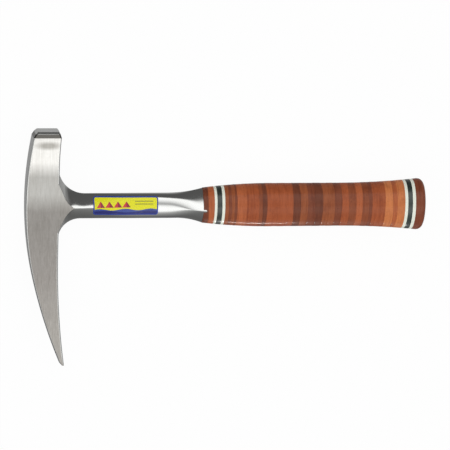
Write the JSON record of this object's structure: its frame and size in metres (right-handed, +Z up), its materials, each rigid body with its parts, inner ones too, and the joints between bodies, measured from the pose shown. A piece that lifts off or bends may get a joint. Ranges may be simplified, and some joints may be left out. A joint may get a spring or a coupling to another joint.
{
  "type": "rock hammer",
  "caption": "One-piece forged steel rock hammer with a square striking poll, a long tapered pick and a grip of stacked leather washers on the tang.",
  "frame": {"origin": "middle of the bounding box, at its bottom, with the hammer lying on its side", "axes": "+X along the handle towards the butt, +Y from the handle towards the striking face, +Z up through the thickness of the head"},
  "size_m": [0.33, 0.1966, 0.0335],
  "materials": {
    "forged_steel": "forged carbon steel, cheeks and pick belt-finished to a satin grain, shank and guard polished",
    "plate_steel": "ground steel plate",
    "label_film": "printed gloss film",
    "leather_tan": "lacquered vegetable-tanned leather, cut edge, tan",
    "leather_chestnut": "lacquered vegetable-tanned leather, cut edge, chestnut",
    "leather_brown": "lacquered vegetable-tanned leather, cut edge, brown",
    "leather_dark": "lacquered vegetable-tanned leather, cut edge, dark brown",
    "white_fibre": "lacquered white vulcanised fibre",
    "dark_fibre": "lacquered dark green-black vulcanised fibre"
  },
  "bodies": {
    "root": {"forging": "forged_steel", "label": "label_film", "butt_plate": "plate_steel", "front_washer_1": "leather_brown", "front_washer_2": "leather_chestnut", "front_spacer_a": "white_fibre", "front_spacer_b": "dark_fibre", "front_spacer_c": "white_fibre", "grip_washer_01": "leather_chestnut", "grip_washer_02": "leather_brown", "grip_washer_03": "leather_chestnut", "grip_washer_04": "leather_brown", "grip_washer_05": "leather_tan", "grip_washer_06": "leather_tan", "grip_washer_07": "leather_chestnut", "grip_washer_08": "leather_chestnut", "grip_washer_09": "leather_brown", "grip_washer_10": "leather_dark", "grip_washer_11": "leather_chestnut", "grip_washer_12": "leather_chestnut", "grip_washer_13": "leather_chestnut", "grip_washer_14": "leather_chestnut", "grip_washer_15": "leather_dark", "grip_washer_16": "leather_chestnut", "grip_washer_17": "leather_brown", "grip_washer_18": "leather_dark", "grip_washer_19": "leather_chestnut", "grip_washer_20": "leather_chestnut", "grip_washer_21": "leather_brown", "grip_washer_22": "leather_chestnut", "grip_washer_23": "leather_brown", "grip_washer_24": "leather_tan", "grip_washer_25": "leather_brown", "grip_washer_26": "leather_brown", "grip_washer_27": "leather_chestnut", "grip_washer_28": "leather_chestnut", "grip_washer_29": "leather_chestnut", "grip_washer_30": "leather_tan", "grip_washer_31": "leather_tan", "grip_washer_32": "leather_tan", "rear_spacer_a": "white_fibre", "rear_spacer_b": "dark_fibre", "rear_spacer_c": "white_fibre", "butt_washer_1": "leather_brown", "butt_washer_2": "leather_brown"}
  },
  "joints": []
}
